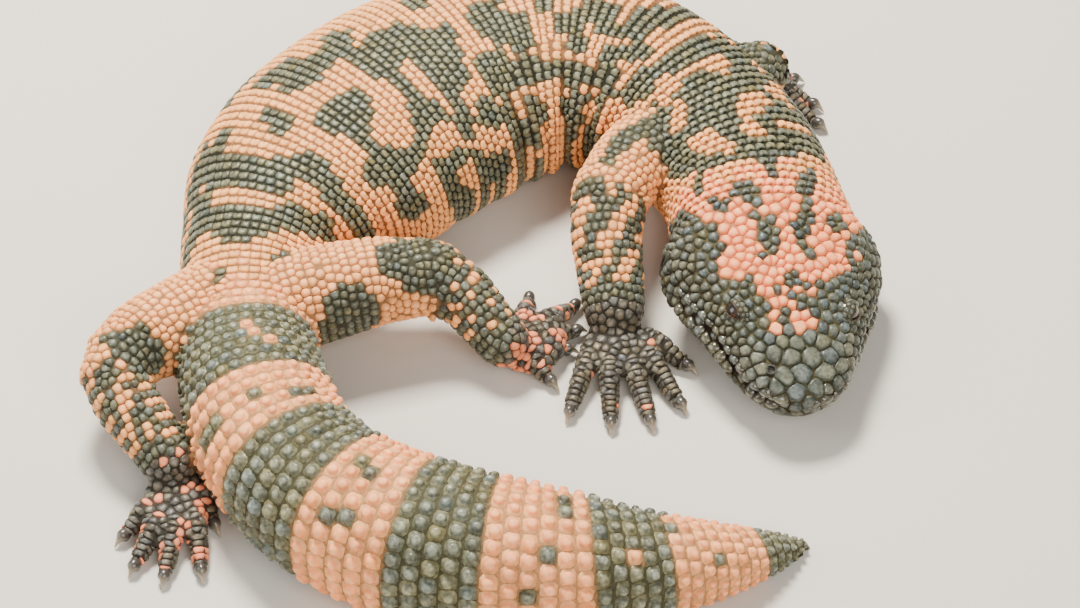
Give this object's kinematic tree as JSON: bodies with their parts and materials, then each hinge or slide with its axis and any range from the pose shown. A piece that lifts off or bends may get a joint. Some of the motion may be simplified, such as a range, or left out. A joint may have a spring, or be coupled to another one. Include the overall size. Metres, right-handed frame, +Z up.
{
  "type": "gila monster",
  "caption": "Still life-size Gila monster lying curled on the floor, head low and tail swept forward; rests on its belly, tail and feet.",
  "frame": {"origin": "centre of the footprint's bounding box, on the floor that the belly, tail and feet rest on", "axes": "+Z up, the shortest extent; +Y from the curl of the tail and the snout toward the arch of the back, the longest extent; +X from the left hind leg toward the head"},
  "size_m": [0.1956, 0.216, 0.0412],
  "materials": {
    "rose_skin": "beaded, satin",
    "dark_skin": "beaded, satin",
    "horn": "smooth horn",
    "eye": "wet gloss"
  },
  "bodies": {
    "root": {"belly": "rose_skin", "chest": "rose_skin", "head": "rose_skin", "hips": "dark_skin", "left_eye": "eye", "left_foot": "dark_skin", "left_foot_claw_1": "horn", "left_foot_claw_2": "horn", "left_foot_claw_3": "horn", "left_foot_claw_4": "horn", "left_foot_claw_5": "horn", "left_forearm": "dark_skin", "left_hand": "dark_skin", "left_hand_claw_1": "horn", "left_hand_claw_2": "horn", "left_hand_claw_3": "horn", "left_hand_claw_4": "horn", "left_hand_claw_5": "horn", "left_shin": "dark_skin", "left_thigh": "dark_skin", "left_upper_arm": "dark_skin", "loin": "rose_skin", "neck": "rose_skin", "right_eye": "eye", "right_foot": "dark_skin", "right_foot_claw_1": "horn", "right_foot_claw_2": "horn", "right_foot_claw_3": "horn", "right_foot_claw_4": "horn", "right_foot_claw_5": "horn", "right_forearm": "dark_skin", "right_hand": "dark_skin", "right_hand_claw_1": "horn", "right_hand_claw_2": "horn", "right_hand_claw_3": "horn", "right_hand_claw_4": "horn", "right_hand_claw_5": "horn", "right_shin": "dark_skin", "right_thigh": "dark_skin", "right_upper_arm": "dark_skin", "shoulders": "dark_skin", "tail_base": "rose_skin", "tail_end": "rose_skin", "tail_middle": "dark_skin", "tail_tip": "dark_skin"}
  },
  "joints": []
}
